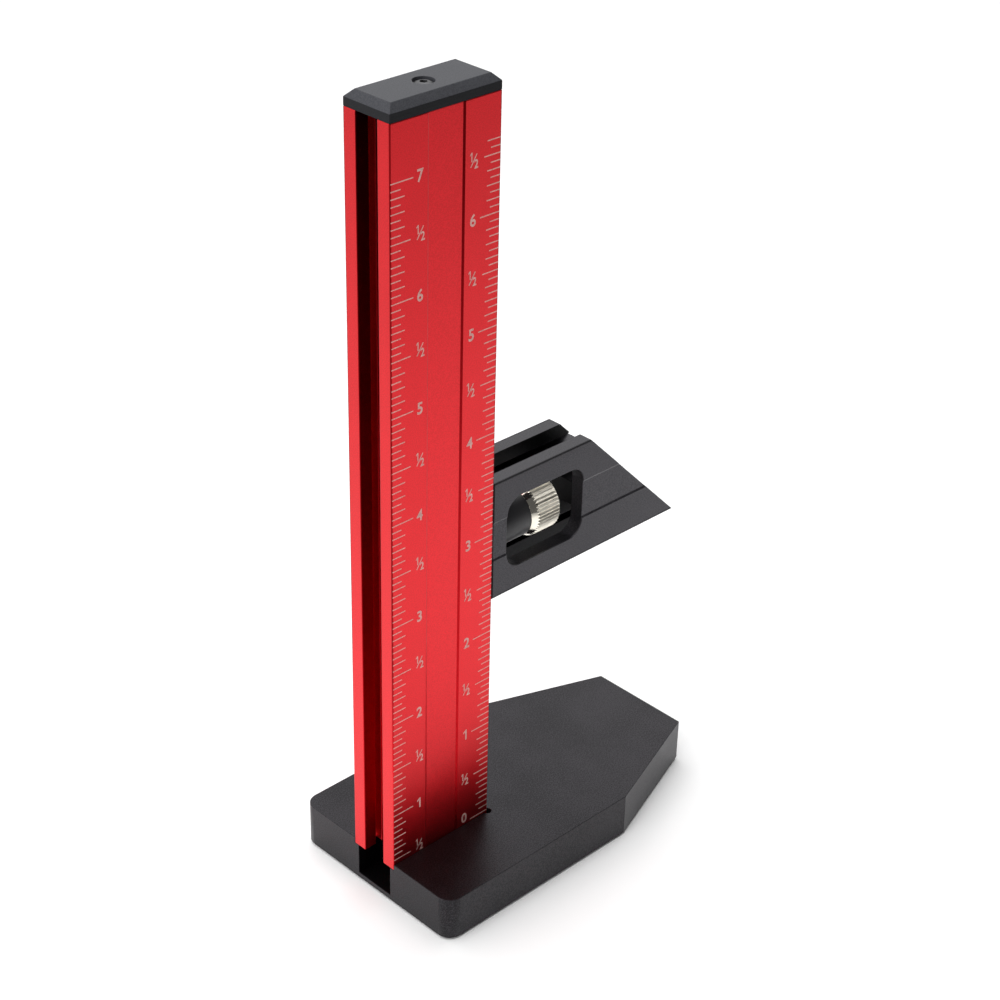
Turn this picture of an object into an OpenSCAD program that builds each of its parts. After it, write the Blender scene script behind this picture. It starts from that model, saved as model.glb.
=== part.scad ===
// Height gauge: a slotted upright with two scales stands in a heavy base plate,
// and a short pointed arm of the same section is clamped to it from the side.
// Millimetres. +Z is up, the table is z = 0, and the origin is the middle of
// the base plate's underside. +X points along the arm and to the base's nose.

/* [Base plate] */
// Length of the base plate, from its square end to its nose
base_l = 90; // [84:1:130]
// Width of the base plate
base_w = 50.8; // [40:0.1:80]
// Thickness of the base plate
base_t = 11.5; // [10:0.5:18]
// Length of the full width, before the sides run in to the nose
base_shoulder = 57.8; // [50:0.2:75]
// Width of the flat nose
nose_w = 27.2; // [16:0.2:36]
// Radius of the two corners at the square end
base_corner_r = 3.5; // [1:0.5:8]
// Break along the lower edge all round
base_edge = 0.5; // [0.2:0.1:1.2]
// Depth that the upright is let into the base
pocket_depth = 1.5; // [1:0.25:4]
// Gap round the upright in its pocket
pocket_gap = 0.05; // [0.05:0.05:0.3]
// Diameter of the reliefs in the pocket's inner corners
pocket_relief_d = 2; // [1.2:0.2:3]
// Width of the port under the upright's outer slot
port_w = 10.9; // [8:0.1:12]
// Length of the port, in from the square end
port_l = 8.6; // [6:0.2:9.4]
// Thickness of the floor left under the port
port_floor = 2; // [1:0.25:4]
// Radius of the port's inner corners
port_r = 2; // [1:0.25:3]

/* [Slotted section] */
// Width of the section, across its broad faces
rail_w = 29.5; // [28:0.5:38]
// Thickness of the section, over its broad faces
rail_t = 13.5; // [13:0.25:16]
// Width of the shallow recess along the middle of each broad face
recess_w = 9; // [4:0.2:12]
// Depth of the recess
recess_depth = 0.2; // [0.1:0.05:0.5]
// Width of the slope on each side of the recess
recess_slope = 0.5; // [0.2:0.1:1]
// Width of the slot's mouth
slot_w = 6.2; // [5.4:0.1:7]
// Thickness of the lips beside the mouth
lip_t = 3.3; // [3:0.1:3.4]
// Width of the slot behind the lips
chamber_w = 10.5; // [9.5:0.1:11]
// Depth of the wide part of the slot
chamber_depth = 1.8; // [1.7:0.1:1.9]
// Depth of the narrow channel behind the wide part
channel_depth = 6.6; // [5:0.2:6.6]

/* [Upright] */
// Length of the upright
beam_l = 180; // [130:5:300]

/* [End cap] */
// Thickness of the end cap
cap_t = 3.5; // [3:0.25:6]
// Bevel round the cap's upper edge
cap_bevel = 1.6; // [0.6:0.1:2]
// Thread diameter of the cap's screw
cap_screw_d = 2.5; // [2:0.1:3]
// Length of the cap's screw under its head
cap_screw_l = 10; // [8:1:16]
// Head diameter of the cap's screw
cap_head_d = 4.3; // [4:0.1:5.6]
// Height of the cap screw's head
cap_head_h = 1.4; // [1.2:0.1:1.8]
// Height of the domed part of the cap screw's head
cap_head_dome = 0.6; // [0.4:0.1:0.8]
// Width across the flats of the cap screw's socket
cap_socket = 1.5; // [1.2:0.1:2]
// Depth of the cap screw's socket
cap_socket_depth = 0.9; // [0.6:0.1:1]
// Depth that the head lies under the cap's top
cap_head_sink = 0.1; // [0.1:0.1:0.5]

/* [Base screw] */
// Thread diameter of the screw under the base
base_screw_d = 4; // [3:0.5:4.5]
// Length of the base screw under its head
base_screw_l = 20; // [14:1:30]
// Head diameter of the base screw
base_head_d = 7; // [6:0.5:8.5]
// Height of the base screw's head
base_head_h = 4; // [3.5:0.5:5]
// Width across the flats of the base screw's socket
base_socket = 3; // [2:0.5:3.5]
// Depth of the base screw's socket
base_socket_depth = 2; // [1.5:0.5:2.5]
// Depth that the head lies inside the base
base_head_sink = 0.6; // [0.3:0.1:1.5]

/* [Arm] */
// Length of the arm along its lower edge
arm_l = 60; // [56:1:120]
// Height of the arm's lower edge over the table, as clamped
arm_height = 71.1; // [20:0.1:110]
// Angle between the arm's lower edge and its slanted end
arm_angle = 45; // [40:1:75]
// Thickness of the wall between the upright and the window
arm_wall = 4.5; // [4:0.1:7]
// Length of the window in the arm
window_l = 24; // [23:0.5:26]
// Height of the window in the arm
window_h = 18; // [16:0.5:20]
// Corner radius of the window
window_r = 4; // [1:0.2:4]

/* [Clamp] */
// Length of the slider in the upright's slot
slider_l = 25; // [16:1:40]
// Thickness of the slider's wide part
slider_t = 1.3; // [1:0.1:1.3]
// Gap on each side of the slider's wide part
slider_gap = 0.2; // [0.1:0.05:0.4]
// Gap on each side of the slider's tongue
tongue_gap = 0.1; // [0.05:0.05:0.2]
// Height of the tongue that enters the arm's end
tongue_rise = 1.5; // [0.8:0.1:2]
// Thread diameter of the clamp stud
stud_d = 4; // [3:0.5:4.5]
// Length of stud that shows beyond the nut
stud_tip = 1.5; // [0.5:0.25:3]
// Outer diameter of the sleeve under the nut
sleeve_d = 11.4; // [9:0.2:13]
// Length of the sleeve
sleeve_l = 8.7; // [5:0.1:9]
// Bevel on the sleeve's seat end, clear of the window's corners
sleeve_bevel = 0.7; // [0.7:0.1:1.5]
// Outer diameter of the knurled nut
nut_d = 13.2; // [11:0.2:13.4]
// Length of the nut
nut_l = 8.5; // [6:0.5:9]
// Length of the polished cone on the nut's seat side
nut_cone_l = 1.9; // [1:0.1:2.5]
// Break on the nut's free end
nut_edge = 0.5; // [0.2:0.1:1]
// Number of knurl teeth round the nut
knurl_teeth = 48; // [24:1:60]
// Depth of the knurl
knurl_depth = 0.3; // [0.15:0.05:0.5]

/* [Hidden] */

$fn = 64;

// Radial gap between a thread and its hole, and a drilled hole's play
thread_gap = 0.05;
drill_gap = 0.25;
// Gap round the head of the cap's screw in its counterbore
head_gap = 0.15;
// Depth of tapped hole past the tip of the base screw
tap_clear = 2;
// Overshoot of the cutters past the faces that they open
cut = 1;

end_x = -base_l / 2;
nose_x = base_l / 2;
shoulder_x = end_x + base_shoulder;

beam_x = end_x + rail_w / 2;
beam_z = base_t - pocket_depth;
beam_top = beam_z + beam_l;

slot_depth = lip_t + chamber_depth + channel_depth;
face_x = beam_x + rail_w / 2;

arm_mid_z = arm_height + rail_w / 2;
window_x = face_x + arm_wall;

slider_x = face_x - lip_t;
sleeve_end = window_x + sleeve_l;
nut_end = sleeve_end + nut_l;
stud_start = slider_x - slider_t;
stud_end = nut_end + stud_tip;

// Lays a solid that was drawn along +Z along +X
module along_x() {
    rotate([0, 90, 0]) children();
}

// Rectangle centred on Y that starts at x = 0
module strip(length, width) {
    translate([0, -width / 2]) square([length, width]);
}

// One slot, cut in from the section's edge at x = 0 towards +x
module slot_shape() {
    translate([-cut, 0]) strip(slot_depth + cut, slot_w);
    translate([lip_t, 0]) strip(chamber_depth, chamber_w);
}

// Recess in the broad face at y = rail_t / 2, with sloping sides
module recess_shape() {
    floor_y = rail_t / 2 - recess_depth;
    mouth = recess_w / 2 + recess_slope;
    polygon([
        [-recess_w / 2, floor_y], [recess_w / 2, floor_y], [mouth, rail_t / 2],
        [mouth, rail_t / 2 + cut], [-mouth, rail_t / 2 + cut], [-mouth, rail_t / 2]
    ]);
}

// Section shared by the upright and the arm, broad faces at y = +/- rail_t / 2
module rail_section() {
    difference() {
        square([rail_w, rail_t], center = true);
        for (side = [0, 180]) {
            rotate(side) recess_shape();
            rotate(side) translate([-rail_w / 2, 0]) slot_shape();
        }
    }
}

// Outline of the base plate drawn smaller by inset on every side
module base_outline(inset) {
    x0 = end_x + inset;
    x1 = nose_x - inset;
    half = base_w / 2 - inset;
    r = base_corner_r;
    nose = nose_w / 2 - inset;
    polygon([
        [x0, half - r], [x0 + r, half], [shoulder_x, half], [x1, nose],
        [x1, -nose], [shoulder_x, -half], [x0 + r, -half], [x0, r - half]
    ]);
    for (side = [-1, 1])
        translate([x0 + r, side * (half - r)]) circle(r);
}

// Pocket that the upright stands in, open at the square end
module pocket() {
    pocket_l = rail_w + pocket_gap;
    pocket_w = rail_t + 2 * pocket_gap;
    translate([end_x, 0, beam_z])
        linear_extrude(pocket_depth + cut) {
            translate([-cut, 0]) strip(pocket_l + cut, pocket_w);
            for (side = [-1, 1])
                translate([pocket_l, side * pocket_w / 2]) circle(d = pocket_relief_d);
        }
}

// Port under the upright's outer slot, open at the square end
module port() {
    translate([end_x, 0, port_floor])
        linear_extrude(base_t) {
            translate([-cut, 0]) strip(port_l - port_r + cut, port_w);
            strip(port_l, port_w - 2 * port_r);
            for (side = [-1, 1])
                translate([port_l - port_r, side * (port_w / 2 - port_r)]) circle(port_r);
        }
}

module base_plate() {
    color([0.13, 0.13, 0.14])
    difference() {
        union() {
            translate([0, 0, base_edge]) linear_extrude(base_t - base_edge) base_outline(0);
            linear_extrude(base_edge) base_outline(base_edge);
        }
        pocket();
        port();
        translate([beam_x, 0, -cut])
            cylinder(d = base_screw_d + 2 * drill_gap, h = base_t + cut);
        translate([beam_x, 0, -cut])
            cylinder(d = base_head_d + 2 * drill_gap, h = base_head_sink + base_head_h + cut);
    }
}

// Socket screw drawn with its head's top at z = 0 and its shank down along -Z
module socket_screw(thread_d, shank_l, head_d, head_h, dome, socket, socket_depth) {
    // Radius of a dome that falls by its height from the axis to the head's rim
    dome_r = dome > 0 ? (head_d * head_d / 4 + dome * dome) / (2 * dome) : head_d;
    difference() {
        intersection() {
            translate([0, 0, -head_h]) cylinder(d = head_d, h = head_h);
            if (dome > 0) translate([0, 0, -dome_r]) sphere(dome_r);
            else translate([0, 0, -head_h]) cylinder(d = 2 * head_d, h = head_h);
        }
        translate([0, 0, -socket_depth])
            cylinder(d = socket / cos(30), h = socket_depth + cut, $fn = 6);
    }
    translate([0, 0, -head_h - shank_l]) cylinder(d = thread_d, h = shank_l);
}

// The screw comes up through the base into the upright's foot
module base_screw() {
    color([0.2, 0.2, 0.21])
    translate([beam_x, 0, base_head_sink])
        rotate([180, 0, 0])
            socket_screw(base_screw_d, base_screw_l, base_head_d, base_head_h, 0,
                         base_socket, base_socket_depth);
}

module beam() {
    tap_h = base_head_sink + base_head_h + base_screw_l + tap_clear - beam_z;
    color([0.78, 0.09, 0.1])
    difference() {
        translate([beam_x, 0, beam_z]) linear_extrude(beam_l) rail_section();
        translate([beam_x, 0, beam_z - cut])
            cylinder(d = base_screw_d + 2 * thread_gap, h = tap_h + cut);
        translate([beam_x, 0, beam_top - cap_screw_l])
            cylinder(d = cap_screw_d + 2 * thread_gap, h = cap_screw_l + cut);
    }
}

// Outline of the cap's side, with its upper corners bevelled
module cap_side(width) {
    polygon([
        [-width / 2, 0], [width / 2, 0], [width / 2, cap_t - cap_bevel],
        [width / 2 - cap_bevel, cap_t], [cap_bevel - width / 2, cap_t],
        [-width / 2, cap_t - cap_bevel]
    ]);
}

module end_cap() {
    color([0.17, 0.17, 0.18])
    translate([beam_x, 0, beam_top])
    difference() {
        intersection() {
            rotate([90, 0, 0]) linear_extrude(rail_t, center = true) cap_side(rail_w);
            rotate([90, 0, 90]) linear_extrude(rail_w, center = true) cap_side(rail_t);
        }
        translate([0, 0, -cut])
            cylinder(d = cap_screw_d + 2 * drill_gap, h = cap_t + 2 * cut);
        translate([0, 0, cap_t - cap_head_sink - cap_head_h])
            cylinder(d = cap_head_d + 2 * head_gap, h = cap_t);
    }
}

module cap_screw() {
    color([0.2, 0.2, 0.21])
    translate([beam_x, 0, beam_top + cap_t - cap_head_sink])
        socket_screw(cap_screw_d, cap_screw_l, cap_head_d, cap_head_h, cap_head_dome,
                     cap_socket, cap_socket_depth);
}

// Side view of the arm, from the upright's face to its slanted end
module arm_side() {
    polygon([
        [0, 0], [arm_l, 0], [arm_l - rail_w / tan(arm_angle), rail_w], [0, rail_w]
    ]);
}

// Window outline with its left lower corner at the origin
module window_outline() {
    translate([window_r, 0]) square([window_l - 2 * window_r, window_h]);
    translate([0, window_r]) square([window_l, window_h - 2 * window_r]);
    for (x = [window_r, window_l - window_r], y = [window_r, window_h - window_r])
        translate([x, y]) circle(window_r);
}

module arm() {
    color([0.14, 0.14, 0.15])
    difference() {
        intersection() {
            translate([face_x, 0, arm_mid_z])
                along_x() linear_extrude(arm_l) rail_section();
            translate([face_x, 0, arm_height])
                rotate([90, 0, 0])
                    linear_extrude(rail_t + 2 * cut, center = true) arm_side();
        }
        translate([window_x, 0, arm_mid_z - window_h / 2])
            rotate([90, 0, 0])
                linear_extrude(rail_t + 2 * cut, center = true) window_outline();
        translate([face_x - cut, 0, arm_mid_z])
            along_x() cylinder(d = stud_d + 2 * drill_gap, h = arm_wall + 2 * cut);
        translate([face_x - cut, -slot_w / 2, arm_mid_z - rail_w / 2 - cut])
            cube([tongue_rise + drill_gap + cut, slot_w, rail_w + 2 * cut]);
    }
}

// Slider: its wide part pulls on the lips, its tongue keys the arm to the slot
module slot_slider() {
    color([0.7, 0.7, 0.72])
    translate([slider_x, 0, arm_mid_z])
    difference() {
        union() {
            translate([-slider_t, slider_gap - chamber_w / 2, -slider_l / 2])
                cube([slider_t, chamber_w - 2 * slider_gap, slider_l]);
            translate([-slider_t / 2, tongue_gap - slot_w / 2, -slider_l / 2])
                cube([slider_t / 2 + lip_t + tongue_rise, slot_w - 2 * tongue_gap, slider_l]);
        }
        translate([-slider_t - cut, 0, 0])
            along_x() cylinder(d = stud_d, h = slider_t + lip_t + tongue_rise + 2 * cut);
    }
}

module clamp_stud() {
    color([0.72, 0.72, 0.74])
    translate([stud_start, 0, arm_mid_z])
        along_x() cylinder(d = stud_d - 2 * thread_gap, h = stud_end - stud_start);
}

module nut_sleeve() {
    color([0.12, 0.12, 0.13])
    translate([window_x, 0, arm_mid_z])
        along_x() difference() {
            union() {
                cylinder(d1 = sleeve_d - 2 * sleeve_bevel, d2 = sleeve_d, h = sleeve_bevel);
                translate([0, 0, sleeve_bevel]) cylinder(d = sleeve_d, h = sleeve_l - sleeve_bevel);
            }
            translate([0, 0, -cut]) cylinder(d = stud_d + drill_gap, h = sleeve_l + 2 * cut);
        }
}

// Knurl outline: straight teeth round a circle
module knurl_outline() {
    step = 180 / knurl_teeth;
    polygon([
        for (i = [0 : 2 * knurl_teeth - 1])
            let (r = nut_d / 2 - knurl_depth * (i % 2))
            [r * cos(i * step), r * sin(i * step)]
    ]);
}

// Turned blank of the nut: a cone at the seat and a break at the free end,
// both run out past the knurl so that its teeth fade into them
module nut_blank() {
    cone_rise = (nut_d - sleeve_d) / 2;
    over = cut / nut_cone_l;
    polygon([
        [0, 0], [sleeve_d / 2, 0],
        [nut_d / 2 + over * cone_rise, nut_cone_l + over * nut_cone_l],
        [nut_d / 2 + over * cone_rise, nut_l - nut_edge - over * cone_rise],
        [nut_d / 2 - nut_edge, nut_l], [0, nut_l]
    ]);
}

// The nut turns about +X on the stud, with its cone against the sleeve
module thumb_nut() {
    color([0.85, 0.83, 0.8])
    translate([sleeve_end, 0, arm_mid_z])
        along_x() difference() {
            intersection() {
                translate([0, 0, -cut]) linear_extrude(nut_l + 2 * cut) knurl_outline();
                rotate_extrude() nut_blank();
            }
            translate([0, 0, -cut]) cylinder(d = stud_d, h = nut_l + 2 * cut);
        }
}

base_plate();
base_screw();
beam();
end_cap();
cap_screw();
arm();
slot_slider();
clamp_stud();
nut_sleeve();
thumb_nut();
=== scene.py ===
"""Height gauge: anodised slotted upright with etched inch scales, base plate, clamped arm."""
import math

import bmesh
import bpy
from mathutils import Matrix, Vector


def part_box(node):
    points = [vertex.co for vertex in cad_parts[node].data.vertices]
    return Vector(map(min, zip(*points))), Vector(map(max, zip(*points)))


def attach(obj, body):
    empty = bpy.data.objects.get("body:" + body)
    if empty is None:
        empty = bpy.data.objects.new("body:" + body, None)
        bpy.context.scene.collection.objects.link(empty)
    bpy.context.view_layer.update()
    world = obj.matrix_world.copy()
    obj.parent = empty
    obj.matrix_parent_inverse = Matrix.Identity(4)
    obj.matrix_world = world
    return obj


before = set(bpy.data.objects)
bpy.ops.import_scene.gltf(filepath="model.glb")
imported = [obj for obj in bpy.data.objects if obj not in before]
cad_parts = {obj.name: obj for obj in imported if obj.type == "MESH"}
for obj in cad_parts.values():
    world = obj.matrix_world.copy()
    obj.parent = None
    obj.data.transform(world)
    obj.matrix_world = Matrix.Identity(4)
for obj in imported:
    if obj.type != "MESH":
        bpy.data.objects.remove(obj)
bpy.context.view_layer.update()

MM = 0.001
INCH = 25.4 * MM
# Marks to an inch on the scales
PER_INCH = 16
SIXTEENTH = INCH / PER_INCH

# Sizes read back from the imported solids
BEAM_LO, BEAM_HI = (Vector(corner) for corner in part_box("beam"))
BEAM_X = (BEAM_LO.x + BEAM_HI.x) / 2
FACE_Y = BEAM_LO.y
SECTION_W = (BEAM_HI.x - BEAM_LO.x) / 2
SECTION_T = (BEAM_HI.y - BEAM_LO.y) / 2
# Height of the clamp's axis on the arm as drawn
STUD_Z = 85.85 * MM
# Grain of anodised metal, as noise scales: blasted speckle, handling cloud, fine blast marks
SPECKLE_SCALE = 3400
CLOUD_SCALE = 60
BLAST_SCALE = 2600
COAT_ROUGH = 0.28
# Depth of a slot's mouth, just past its lips
LIP_T = 3.4 * MM
# A ramp's 0 to 1 covers 200 mm of height, or 10 mm beside the section's middle
PER_HEIGHT = 5
PER_WIDTH = 100
# Most that painted light may lighten a slot's wall
MOST_PAINTED_LIGHT = 1.4
# Half height of the web's end face on the arm's slant, and where along the arm it starts
WEB_HALF = 3.1 * MM
WEB_FROM_X = 20 * MM
# Middle and half width of the recess's sloping walls, where shade is painted, and how far in from
# the plane they reach
RECESS_WALL = 4.75 * MM
RECESS_HALF = 0.28 * MM
RECESS_REACH = 0.5 * MM
# Painted dark lines on the broken long edges, standing in for their dark reflection, and the least
# line that takes the clear coat off
EDGE_PAINTED_DARK = 0.62
LINE_SEEN = 0.05
# Roughness that shaded walls and the knurl have on top of the rest
SHADED_ROUGH = 0.2
KNURL_ROUGH = 0.24


# ---------------------------------------------------------------- node helpers
def new_material(name):
    """Material with an empty Principled shader; returns material, nodes, links, shader."""
    material = bpy.data.materials.new(name)
    material.use_nodes = True
    nodes = material.node_tree.nodes
    links = material.node_tree.links
    return material, nodes, links, nodes["Principled BSDF"]


def noise(nodes, links, vector, scale, detail=3.0, rough=0.5):
    """3-D noise over a vector socket."""
    node = nodes.new("ShaderNodeTexNoise")
    node.inputs["Scale"].default_value = scale
    node.inputs["Detail"].default_value = detail
    node.inputs["Roughness"].default_value = rough
    links.new(vector, node.inputs["Vector"])
    return node.outputs["Fac"]


def ramp(nodes, links, value, stops):
    """Colour ramp over a value; stops are (position, grey or rgb)."""
    node = nodes.new("ShaderNodeValToRGB")
    elements = node.color_ramp.elements
    while len(elements) < len(stops):
        elements.new(0.5)
    for element, (position, colour) in zip(elements, stops):
        element.position = position
        if isinstance(colour, (int, float)):
            colour = (colour, colour, colour)
        element.color = (*colour, 1)
    links.new(value, node.inputs["Fac"])
    return node.outputs["Color"]


def maths(nodes, links, kind, first, second):
    """Math node over sockets or numbers."""
    node = nodes.new("ShaderNodeMath")
    node.operation = kind
    for socket, value in zip(node.inputs, (first, second)):
        if isinstance(value, (int, float)):
            socket.default_value = value
        else:
            links.new(value, socket)
    return node.outputs[0]


def object_vector(nodes, links, scale=(1, 1, 1)):
    """Object coordinates, stretched per axis."""
    coordinates = nodes.new("ShaderNodeTexCoord")
    mapping = nodes.new("ShaderNodeMapping")
    mapping.inputs["Scale"].default_value = scale
    links.new(coordinates.outputs["Object"], mapping.inputs["Vector"])
    return mapping.outputs["Vector"]


def place(nodes, links):
    """The part's own coordinates as three sockets."""
    split = nodes.new("ShaderNodeSeparateXYZ")
    links.new(object_vector(nodes, links), split.inputs[0])
    return split.outputs


def distance_from(nodes, links, socket, middle):
    """Distance of a coordinate from a middle value."""
    return maths(nodes, links, "ABSOLUTE",
                 maths(nodes, links, "SUBTRACT", socket, middle), 0)


def over_height(nodes, links, z, low_at, low, high_at, high):
    """Value that runs from low at one height to high at another."""
    return ramp(nodes, links, maths(nodes, links, "MULTIPLY", z, PER_HEIGHT),
                [(low_at * PER_HEIGHT, low), (high_at * PER_HEIGHT, high)])


def bump(nodes, links, height, strength, distance, shader):
    """Bump into a shader's normal."""
    node = nodes.new("ShaderNodeBump")
    node.inputs["Strength"].default_value = strength
    node.inputs["Distance"].default_value = distance
    links.new(height, node.inputs["Height"])
    links.new(node.outputs["Normal"], shader.inputs["Normal"])


def in_box(nodes, links, low, high):
    """1 where the surface lies inside a box of the part's own coordinates."""
    inside = 1.0
    for socket, least, most in zip(place(nodes, links), low, high):
        for kind, bound in (("GREATER_THAN", least), ("LESS_THAN", most)):
            inside = maths(nodes, links, "MULTIPLY", inside,
                           maths(nodes, links, kind, socket, bound))
    return inside


def slot_painted_shade(nodes, links, top, foot, lip=1.0):
    """Two factors: 1 outside the slots and 0 inside; painted shade of the surface, mostly less in
    the slots, running there from a factor at the foot to one at the top, with painted light where
    it passes 1.
    """
    x, y, z = place(nodes, links)
    from_middle = distance_from(nodes, links, y, 0)
    beside = ramp(nodes, links, maths(nodes, links, "MULTIPLY", from_middle, PER_WIDTH),
                  [(3.18 * MM * PER_WIDTH, 0.0), (3.30 * MM * PER_WIDTH, 1.0)])
    web_end = maths(nodes, links, "MULTIPLY",
                    maths(nodes, links, "LESS_THAN",
                          distance_from(nodes, links, z, STUD_Z), WEB_HALF),
                    maths(nodes, links, "GREATER_THAN", x, WEB_FROM_X))
    outside = maths(nodes, links, "MAXIMUM", beside, web_end)
    # Painted shade and painted light inside the slots, set by height
    inner = maths(nodes, links, "MULTIPLY",
                  over_height(nodes, links, z, 20 * MM, foot / MOST_PAINTED_LIGHT,
                              190 * MM, top / MOST_PAINTED_LIGHT), MOST_PAINTED_LIGHT)
    # Painted shade: between the lips, near the mouth, the walls are darker than the floor behind
    near_mouth = maths(nodes, links, "GREATER_THAN",
                       distance_from(nodes, links, x, BEAM_X), SECTION_W - LIP_T)
    inner = maths(nodes, links, "MULTIPLY", inner,
                  maths(nodes, links, "SUBTRACT", 1.0,
                        maths(nodes, links, "MULTIPLY", near_mouth, 1.0 - lip)))
    inner_part = maths(nodes, links, "MULTIPLY",
                       maths(nodes, links, "SUBTRACT", 1.0, outside), inner)
    return outside, maths(nodes, links, "ADD", outside, inner_part)


def edge_painted_shade(nodes, links, across, middle, half_w, foot, width):
    """1 on the broken long edges of the slotted section, where a dark reflection is painted as
    shade, 0 elsewhere and below the foot.
    """
    sockets = place(nodes, links)
    line = maths(nodes, links, "MULTIPLY",
                 maths(nodes, links, "GREATER_THAN",
                       distance_from(nodes, links, sockets[across], middle), half_w - width),
                 maths(nodes, links, "GREATER_THAN",
                       distance_from(nodes, links, sockets[1], 0), SECTION_T - width))
    fade = over_height(nodes, links, sockets[2], max(0.0, foot - 20 * MM), 0.0,
                       foot + 10 * MM, 1.0)
    return maths(nodes, links, "MULTIPLY", line, fade)


def recess_painted_shade(nodes, links, at, low, high):
    """Painted shade on one sloping wall of the shallow recess, from low at the foot to high at the
    top.
    """
    x, y, z = place(nodes, links)
    line = maths(nodes, links, "MULTIPLY",
                 maths(nodes, links, "LESS_THAN",
                       distance_from(nodes, links, x, at), RECESS_HALF),
                 maths(nodes, links, "GREATER_THAN",
                       distance_from(nodes, links, y, 0), SECTION_T - RECESS_REACH))
    return maths(nodes, links, "MULTIPLY", line,
                 over_height(nodes, links, z, 50 * MM, low, 180 * MM, high))


def anodised(name, light, dark, rough_low, rough_high, worn, coat, slots=None,
             edges=None, recess=(), shaded=(), metallic=1.0, specular=0.5):
    """Anodised aluminium: blasted speckle, faint handling marks, painted shade in slots, on edges
    and recess walls; shaded is (box, shade) pairs of painted shade.
    """
    material, nodes, links, shader = new_material(name)
    shader.inputs["Metallic"].default_value = metallic
    shader.inputs["Specular IOR Level"].default_value = specular
    plain = object_vector(nodes, links)
    speckle = noise(nodes, links, plain, SPECKLE_SCALE, 2.0, 0.6)
    cloud = noise(nodes, links, plain, CLOUD_SCALE, 4.0, 0.55)
    blast = noise(nodes, links, plain, BLAST_SCALE, 3.0, 0.6)
    mixed = maths(nodes, links, "ADD",
                  maths(nodes, links, "MULTIPLY", speckle, 0.75),
                  maths(nodes, links, "MULTIPLY", cloud, 0.25))
    tint = ramp(nodes, links, mixed, [(0.42, dark), (0.58, light)])
    scuff = noise(nodes, links, object_vector(nodes, links, (300, 300, 90)), 1.0, 6.0, 0.7)
    scuff_mask = ramp(nodes, links, scuff, [(0.70, 0.0), (0.78, 1.0)])
    mix = nodes.new("ShaderNodeMix")
    mix.data_type = "RGBA"
    links.new(maths(nodes, links, "MULTIPLY", scuff_mask, 0.35), mix.inputs["Factor"])
    links.new(tint, mix.inputs["A"])
    mix.inputs["B"].default_value = (*worn, 1)
    colour = mix.outputs["Result"]
    shader.inputs["Coat Roughness"].default_value = COAT_ROUGH
    shader.inputs["Coat Weight"].default_value = coat
    if slots:
        # Painted shade and painted light inside the slots
        outside, shade = slot_painted_shade(nodes, links, *slots)
        # Painted dark lines on the broken long edges, standing in for their dark reflection
        line = maths(nodes, links, "MULTIPLY", edge_painted_shade(nodes, links, *edges), EDGE_PAINTED_DARK)
        # Painted shade on the recess's sloping walls
        for wall in recess:
            line = maths(nodes, links, "MAXIMUM", line, recess_painted_shade(nodes, links, *wall))
        shade = maths(nodes, links, "MULTIPLY", shade, maths(nodes, links, "SUBTRACT", 1.0, line))
        clear = maths(nodes, links, "MULTIPLY", outside,
                      maths(nodes, links, "LESS_THAN", line, LINE_SEEN))
    else:
        shade = clear = 1.0
    extra_rough = 0.0
    # Painted shade inside each box
    for box, dim in shaded:
        inside = in_box(nodes, links, *box)
        shade = maths(nodes, links, "MULTIPLY", shade,
                      maths(nodes, links, "SUBTRACT", 1.0,
                            maths(nodes, links, "MULTIPLY", inside, 1.0 - dim)))
        clear = maths(nodes, links, "MULTIPLY", clear,
                      maths(nodes, links, "SUBTRACT", 1.0, inside))
        extra_rough = maths(nodes, links, "ADD", extra_rough,
                            maths(nodes, links, "MULTIPLY", inside, SHADED_ROUGH))
    if slots or shaded:
        scale = nodes.new("ShaderNodeVectorMath")
        scale.operation = "SCALE"
        links.new(colour, scale.inputs[0])
        links.new(shade, scale.inputs["Scale"])
        colour = scale.outputs[0]
        links.new(maths(nodes, links, "MULTIPLY", clear, coat), shader.inputs["Coat Weight"])
    links.new(colour, shader.inputs["Base Color"])
    rough = ramp(nodes, links, maths(nodes, links, "ADD",
                                     maths(nodes, links, "MULTIPLY", cloud, 0.6),
                                     maths(nodes, links, "MULTIPLY", blast, 0.4)),
                 [(0.35, rough_low), (0.65, rough_high)])
    links.new(maths(nodes, links, "ADD", rough, extra_rough), shader.inputs["Roughness"])
    height = maths(nodes, links, "ADD", speckle, maths(nodes, links, "MULTIPLY", blast, 0.8))
    bump(nodes, links, height, 0.27, 0.00004, shader)
    return material


def bright_metal(name, colour, rough_low, rough_high, grain_axis, metallic=1.0, matt_from=None):
    """Plated or bare steel with fine turning marks; matter beyond matt_from along X."""
    material, nodes, links, shader = new_material(name)
    shader.inputs["Metallic"].default_value = metallic
    plain = object_vector(nodes, links)
    stretch = [240, 240, 240]
    stretch["xyz".index(grain_axis)] = 5200
    turned = noise(nodes, links, object_vector(nodes, links, tuple(stretch)), 1.0, 2.0, 0.5)
    cloud = noise(nodes, links, plain, 420, 4.0, 0.6)
    shade = tuple(channel * 0.82 for channel in colour)
    links.new(ramp(nodes, links, cloud, [(0.35, shade), (0.62, colour)]),
              shader.inputs["Base Color"])
    rough = ramp(nodes, links, maths(nodes, links, "MULTIPLY",
                                     maths(nodes, links, "ADD", turned, cloud), 0.5),
                 [(0.35, rough_low), (0.65, rough_high)])
    if matt_from is not None:
        knurled = maths(nodes, links, "GREATER_THAN", place(nodes, links)[0], matt_from)
        rough = maths(nodes, links, "ADD", rough,
                      maths(nodes, links, "MULTIPLY", knurled, KNURL_ROUGH))
    links.new(rough, shader.inputs["Roughness"])
    bump(nodes, links, turned, 0.12, 0.00001, shader)
    return material


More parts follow.
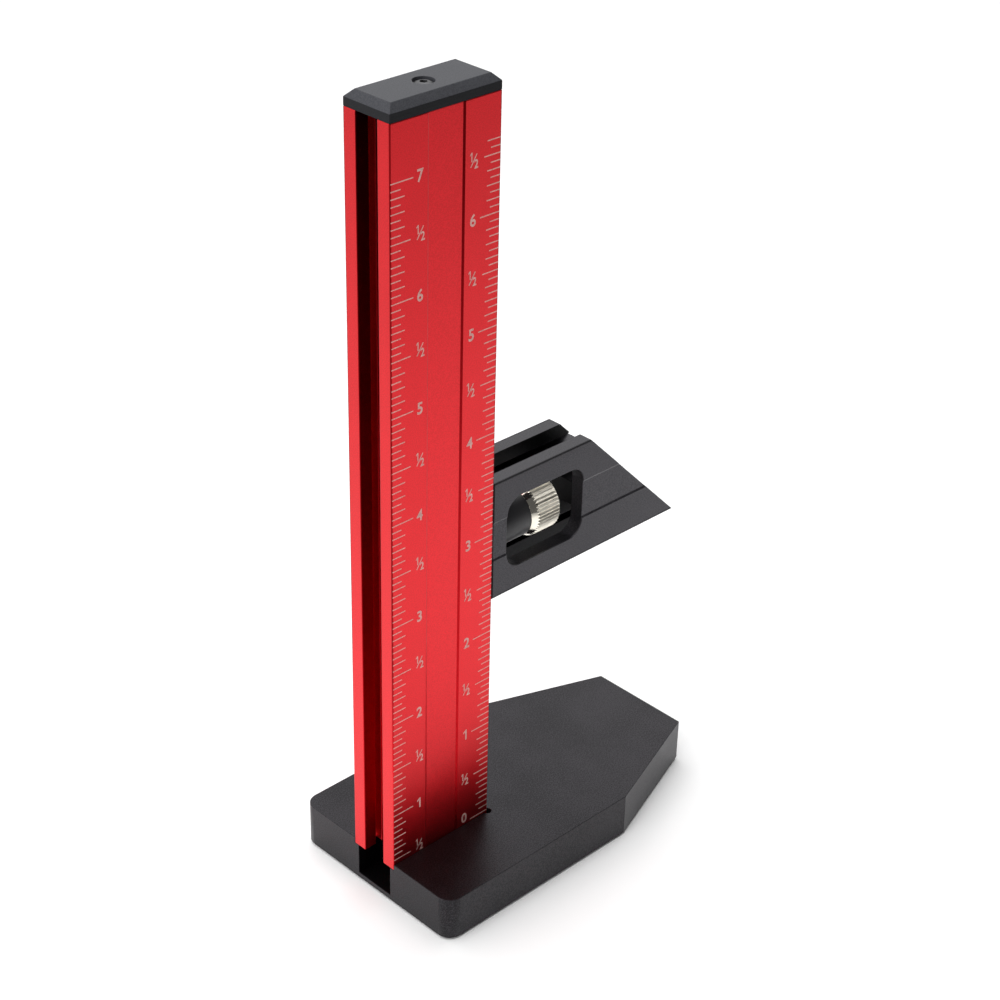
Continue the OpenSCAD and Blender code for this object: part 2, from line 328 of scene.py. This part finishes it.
# Boxes of the part's coordinates that hold only the walls of the arm's window, the seam at its
# end and the walls of the port, which get painted shade
WINDOW_BOX = ((-11.3 * MM, -SECTION_T + 0.3 * MM, 76.5 * MM),
              (13.3 * MM, SECTION_T - 0.3 * MM, 95.2 * MM))
ARM_END_BOX = ((-15.6 * MM, -7 * MM, 70 * MM), (-15.1 * MM, 7 * MM, 102 * MM))
PORT_BOX = ((-45.5 * MM, -5.5 * MM, 1.9 * MM), (-36.2 * MM, 5.5 * MM, 11.4 * MM))
# The cap's upright band, under its bevel, darkened with painted shade
CAP_BAND_BOX = ((BEAM_LO.x - 1 * MM, BEAM_LO.y - 1 * MM, BEAM_HI.z - 0.1 * MM),
                (BEAM_HI.x + 1 * MM, BEAM_HI.y + 1 * MM, BEAM_HI.z + 1.9 * MM))

# After the coat's weight come the slots (painted shade at top, foot and mouth), the edges (axis
# across, middle, half width, foot, width of a painted dark line), the recess walls (place,
# painted shade at foot and top) and the boxes of painted shade
RED = anodised("red_anodised", (0.805, 0.0115, 0.020), (0.685, 0.008, 0.013), 0.36, 0.44,
               (0.80, 0.06, 0.07), 0.34, (0.22, 1.4, 0.5),
               (0, BEAM_X, SECTION_W, 0.055, 0.28 * MM),
               ((BEAM_X + RECESS_WALL, 0.30, 0.80), (BEAM_X - RECESS_WALL, 0.08, 0.22)))
BLACK = anodised("black_anodised", (0.053, 0.050, 0.057), (0.027, 0.026, 0.030), 0.34, 0.44,
                 (0.07, 0.07, 0.074), 0.25, (0.15, 0.15),
                 (2, STUD_Z, SECTION_W, 0.0, 0.40 * MM), (),
                 ((WINDOW_BOX, 0.55), (ARM_END_BOX, 0.25)))
BASE_BLACK = anodised("base_black_anodised", (0.043, 0.040, 0.045), (0.017, 0.016, 0.018),
                      0.36, 0.46, (0.06, 0.06, 0.064), 0.15, shaded=((PORT_BOX, 0.2),))
CAP_BLACK = anodised("cap_black_anodised", (0.0551, 0.0563, 0.0640), (0.0394, 0.0408, 0.0472),
                     0.38, 0.48, (0.10, 0.10, 0.105), 0.0, shaded=((CAP_BAND_BOX, 0.30),),
                     metallic=0.0, specular=0.15)
SCREW_BLACK = bright_metal("black_oxide_steel", (0.075, 0.075, 0.08), 0.30, 0.45, "z")
CAP_SCREW_BLACK = bright_metal("cap_screw_black", (0.11, 0.11, 0.115), 0.42, 0.52, "z")
SLEEVE_BLACK = bright_metal("sleeve_black", (0.016, 0.015, 0.018), 0.42, 0.50, "x", 0.0)
STEEL = bright_metal("plain_steel", (0.56, 0.55, 0.54), 0.25, 0.40, "x")
NICKEL = bright_metal("nickel_plate", (1.0, 0.95, 0.83), 0.09, 0.15, "x", 1.0, -0.4 * MM)


def etched():
    """Laser-etched marks: matt, pale, broken up by the grain under them."""
    material, nodes, links, shader = new_material("etched_marks")
    shader.inputs["Metallic"].default_value = 0.0
    plain = object_vector(nodes, links)
    grain = noise(nodes, links, plain, 3800, 3.0, 0.6)
    links.new(ramp(nodes, links, grain, [(0.30, (0.64, 0.30, 0.27)), (0.62, (0.94, 0.55, 0.50))]),
              shader.inputs["Base Color"])
    links.new(ramp(nodes, links, grain, [(0.3, 0.55), (0.7, 0.75)]), shader.inputs["Roughness"])
    bump(nodes, links, grain, 0.3, 0.00002, shader)
    return material


ETCH = etched()


def dress(node_name, material, width, segments=2):
    """Give a CAD node its material and a small edge break."""
    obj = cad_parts[node_name]
    for slot in range(len(obj.data.materials)):
        obj.material_slots[slot].material = material
    weld = obj.modifiers.new("weld", "WELD")
    weld.merge_threshold = 0.000002
    flat = obj.modifiers.new("flat", "DECIMATE")
    flat.decimate_type = "DISSOLVE"
    flat.angle_limit = math.radians(0.4)
    bevel = obj.modifiers.new("edge", "BEVEL")
    bevel.width = width
    bevel.segments = segments
    bevel.limit_method = "ANGLE"
    bevel.angle_limit = math.radians(35)


dress("base_plate", BASE_BLACK, 0.4 * MM, 3)
dress("beam", RED, 0.25 * MM)
dress("end_cap", CAP_BLACK, 0.38 * MM, 4)
dress("arm", BLACK, 0.3 * MM, 3)
dress("base_screw", SCREW_BLACK, 0.2 * MM)
dress("cap_screw", CAP_SCREW_BLACK, 0.08 * MM)
dress("slot_slider", STEEL, 0.2 * MM)
dress("clamp_stud", STEEL, 0.3 * MM)
dress("nut_sleeve", SLEEVE_BLACK, 0.2 * MM)
dress("thumb_nut", NICKEL, 0.04 * MM, 1)


# ---------------------------------------------------------------- scales
MARK_LIFT = 0.01 * MM
MARK_WIDTH = 0.24 * MM
# Marks start this far in from the edge
MARK_INSET = 0.15 * MM
TICK_STEPS = (16, 8, 4, 2, 1)
LEFT_TICKS = (6.0 * MM, 5.3 * MM, 3.75 * MM, 3.75 * MM, 2.7 * MM)
RIGHT_TICKS = (5.5 * MM, 4.6 * MM, 3.75 * MM, 3.75 * MM, 2.8 * MM)


def tick_length(sixteenths, lengths):
    """Length of the mark at a whole number of sixteenths."""
    return next(length for step, length in zip(TICK_STEPS, lengths) if sixteenths % step == 0)


# Faces of a bar by its corners, which run over x, then z, then y
BAR_FACES = ((0, 1, 3, 2), (4, 6, 7, 5), (0, 4, 5, 1), (2, 3, 7, 6), (0, 2, 6, 4), (1, 5, 7, 3))


def add_bar(mesh, x0, x1, z0, z1):
    """Thin closed bar standing on the broad face."""
    verts = [mesh.verts.new((x, y, z)) for y in (FACE_Y + MARK_LIFT, FACE_Y - MARK_LIFT)
             for z in (z0, z1) for x in (x0, x1)]
    for quad in BAR_FACES:
        mesh.faces.new([verts[i] for i in quad])


def mesh_object(name, mesh, material, body):
    """Wrap a bmesh as an object that rides on a body."""
    bmesh.ops.recalc_face_normals(mesh, faces=mesh.faces)
    data = bpy.data.meshes.new(name)
    mesh.to_mesh(data)
    mesh.free()
    obj = bpy.data.objects.new(name, data)
    bpy.context.scene.collection.objects.link(obj)
    data.materials.append(material)
    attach(obj, body)


# Outline of a figure one with its flag, height 1, and where its middle is taken to be
ONE = ((0.30, 0), (0.47, 0), (0.47, 1), (0.34, 1), (0.06, 0.80), (0.06, 0.64), (0.30, 0.79))
ONE_MIDDLE = 0.30


def glyph_mesh(text, height, squeeze, bold):
    """Plain figures as a flat mesh, centred, of a given height."""
    if text == "1":
        points = [((x - ONE_MIDDLE) * height * squeeze, (y - 0.5) * height) for x, y in ONE]
        return points, [list(range(len(ONE)))]
    curve = bpy.data.curves.new("glyph", "FONT")
    curve.body = text
    curve.offset = bold
    holder = bpy.data.objects.new("glyph", curve)
    bpy.context.scene.collection.objects.link(holder)
    bpy.context.view_layer.update()
    data = bpy.data.meshes.new_from_object(holder)
    xs = [vert.co.x for vert in data.vertices]
    ys = [vert.co.y for vert in data.vertices]
    scale = height / (max(ys) - min(ys))
    middle_x = (max(xs) + min(xs)) / 2
    middle_y = (max(ys) + min(ys)) / 2
    points = [((vert.co.x - middle_x) * scale * squeeze, (vert.co.y - middle_y) * scale)
              for vert in data.vertices]
    faces = [list(face.vertices) for face in data.polygons]
    bpy.data.objects.remove(holder)
    bpy.data.curves.remove(curve)
    bpy.data.meshes.remove(data)
    return points, faces


GLYPHS = {}


def add_glyph(mesh, text, style, x, z):
    """Put one figure on the front face; style is height, squeeze and boldness."""
    key = (text, *style)
    if key not in GLYPHS:
        GLYPHS[key] = glyph_mesh(*key)
    points, faces = GLYPHS[key]
    verts = [mesh.verts.new((x + px, FACE_Y - MARK_LIFT, z + pz)) for px, pz in points]
    for face in faces:
        mesh.faces.new([verts[i] for i in face])


# Styles of figure: height, squeeze and boldness
DIGIT = (2.75 * MM, 0.92, 0.022)
PART_ONE = (1.95 * MM, 0.78, 0.025)
PART_TWO = (1.95 * MM, 0.82, 0.025)
# How far the fraction's figures stand from its middle, sideways and up or down
PART_SIDE = 0.68 * MM
PART_RISE = 0.80 * MM
# The fraction's bar, from its middle to one end, and half its thickness
SLANT = Vector((0.85 * MM, 1.30 * MM))
SLANT_HALF = 0.12 * MM
# The nought stands on its mark instead of beside it
ZERO_RISE = 1.35 * MM


def add_half(mesh, x, z):
    """The fraction one half: small one over small two with a slanted bar."""
    add_glyph(mesh, "1", PART_ONE, x - PART_SIDE, z + PART_RISE)
    add_glyph(mesh, "2", PART_TWO, x + PART_SIDE, z - PART_RISE)
    across = Vector((SLANT.y, -SLANT.x)).normalized() * SLANT_HALF
    corners = (-SLANT - across, -SLANT + across, SLANT + across, SLANT - across)
    mesh.faces.new([mesh.verts.new((x + c.x, FACE_Y - MARK_LIFT, z + c.y)) for c in corners])


def inch_scale(name, zero_z, first, last, edge, lengths, label_at, half_rise):
    """Sixteenth-inch scale along one edge of the front face. edge is -1 left, 1 right."""
    ticks = bmesh.new()
    outer = BEAM_X + edge * (SECTION_W - MARK_INSET)
    for count in range(first, last + 1):
        z = zero_z + count * SIXTEENTH
        inner = BEAM_X + edge * (SECTION_W - tick_length(count, lengths))
        x0, x1 = sorted((outer, inner))
        add_bar(ticks, x0, x1, z - MARK_WIDTH / 2, z + MARK_WIDTH / 2)
    mesh_object(name + "_marks", ticks, ETCH, "stand")
    figures = bmesh.new()
    x = BEAM_X + edge * label_at
    for count in range(first, last + 1):
        z = zero_z + count * SIXTEENTH
        if count % PER_INCH == 0:
            rise = 0.0 if count else ZERO_RISE
            add_glyph(figures, str(count // PER_INCH), DIGIT, x, z + rise)
        elif count % (PER_INCH // 2) == 0:
            add_half(figures, x, z + half_rise)
    mesh_object(name + "_figures", figures, ETCH, "stand")


inch_scale("table_scale", 0.0, 8, 112, -1, LEFT_TICKS, 6.9 * MM, 0.7 * MM)
inch_scale("base_scale", 12.0 * MM, 0, 106, 1, RIGHT_TICKS, 7.3 * MM, 0.0)


# ---------------------------------------------------------------- floor, light, camera
# Half the floor's side in metres, and the floor's painted shade, where place 0 is 1 m in front or
# to the left of the middle and place 1 is the middle itself
FLOOR_HALF = 3.0
FLOOR_PAINTED_FALL = [(0.60, 0.52), (0.86, 0.97), (1.0, 1.0)]


def floor():
    """White sweep the gauge stands on, with painted shade in front and to the left."""
    mesh = bmesh.new()
    verts = [mesh.verts.new((x * FLOOR_HALF, y * FLOOR_HALF, 0))
             for x, y in ((-1, -1), (1, -1), (1, 1), (-1, 1))]
    mesh.faces.new(verts)
    data = bpy.data.meshes.new("floor")
    mesh.to_mesh(data)
    mesh.free()
    obj = bpy.data.objects.new("floor", data)
    bpy.context.scene.collection.objects.link(obj)
    material, nodes, links, shader = new_material("floor_white")
    shader.inputs["Roughness"].default_value = 0.8
    shader.inputs["Specular IOR Level"].default_value = 0.2
    # Painted shade: the sweep falls off softly in front and to the left, where the studio is darker
    falls = [ramp(nodes, links, maths(nodes, links, "ADD", side, 1.0), FLOOR_PAINTED_FALL)
             for side in place(nodes, links)[:2]]
    fall = maths(nodes, links, "MULTIPLY", *falls)
    cloud = ramp(nodes, links, noise(nodes, links, object_vector(nodes, links), 3.0),
                 [(0.3, 0.98), (0.7, 1.0)])
    links.new(maths(nodes, links, "MULTIPLY", fall, cloud), shader.inputs["Base Color"])
    data.materials.append(material)


def area_light(name, spot, target, size_x, size_y, power):
    """Soft box that faces a target."""
    data = bpy.data.lights.new(name, "AREA")
    data.shape = "RECTANGLE"
    data.size = size_x
    data.size_y = size_y
    data.energy = power
    obj = bpy.data.objects.new(name, data)
    bpy.context.scene.collection.objects.link(obj)
    direction = Vector(target) - Vector(spot)
    obj.location = spot
    obj.rotation_euler = direction.to_track_quat("-Z", "Y").to_euler()


floor()

world = bpy.data.worlds.new("studio")
world.use_nodes = True
sky_nodes = world.node_tree.nodes
sky_links = world.node_tree.links
sky_direction = sky_nodes.new("ShaderNodeTexCoord")
sky_split = sky_nodes.new("ShaderNodeSeparateXYZ")
sky_links.new(sky_direction.outputs["Generated"], sky_split.inputs[0])
# White behind and above, a darker room in front
sky_depth = maths(sky_nodes, sky_links, "MULTIPLY_ADD", sky_split.outputs[1], 0.5)
sky_shade = ramp(sky_nodes, sky_links, sky_depth, [(0.25, 0.08), (0.55, 1.0)])
sky_links.new(sky_shade, sky_nodes["Background"].inputs["Color"])
sky_nodes["Background"].inputs["Strength"].default_value = 1.2
bpy.context.scene.world = world

area_light("softbox_left", (-0.75, -0.15, 0.55), (-0.03, 0, 0.09), 0.7, 0.9, 3.4)
area_light("softbox_top", (0.05, 0.10, 1.0), (0.0, 0, 0.05), 0.9, 0.9, 4.6)

# Viewpoint of the photograph, found from the spacing of the scale marks
VIEW_AZ = math.radians(-44.657)
VIEW_EL = math.radians(30.27)
VIEW_ROLL = math.radians(1.343)
VIEW_PLACE = Vector((-302.54, -299.25, 336.04)) * MM
FOCAL_PIXELS = 2182.2
IMAGE_PIXELS = 1000
SENSOR_MM = 36


def place_camera():
    """Camera with no shift, rolled slightly as the photograph is."""
    back = Vector((math.sin(VIEW_AZ) * math.cos(VIEW_EL),
                   -math.cos(VIEW_AZ) * math.cos(VIEW_EL), math.sin(VIEW_EL)))
    right = (-back).cross(Vector((0, 0, 1))).normalized()
    up = right.cross(-back)
    turned_right = math.cos(VIEW_ROLL) * right + math.sin(VIEW_ROLL) * up
    turned_up = math.cos(VIEW_ROLL) * up - math.sin(VIEW_ROLL) * right
    data = bpy.data.cameras.new("camera")
    data.sensor_width = SENSOR_MM
    data.lens = SENSOR_MM * FOCAL_PIXELS / IMAGE_PIXELS
    data.clip_start = 0.01
    data.clip_end = 20
    obj = bpy.data.objects.new("camera", data)
    bpy.context.scene.collection.objects.link(obj)
    obj.matrix_world = Matrix.Translation(VIEW_PLACE) @ Matrix(
        (turned_right, turned_up, back)).transposed().to_4x4()
    bpy.context.scene.camera = obj


place_camera()

view = bpy.context.scene.view_settings
view.view_transform = "Standard"
view.look = "None"
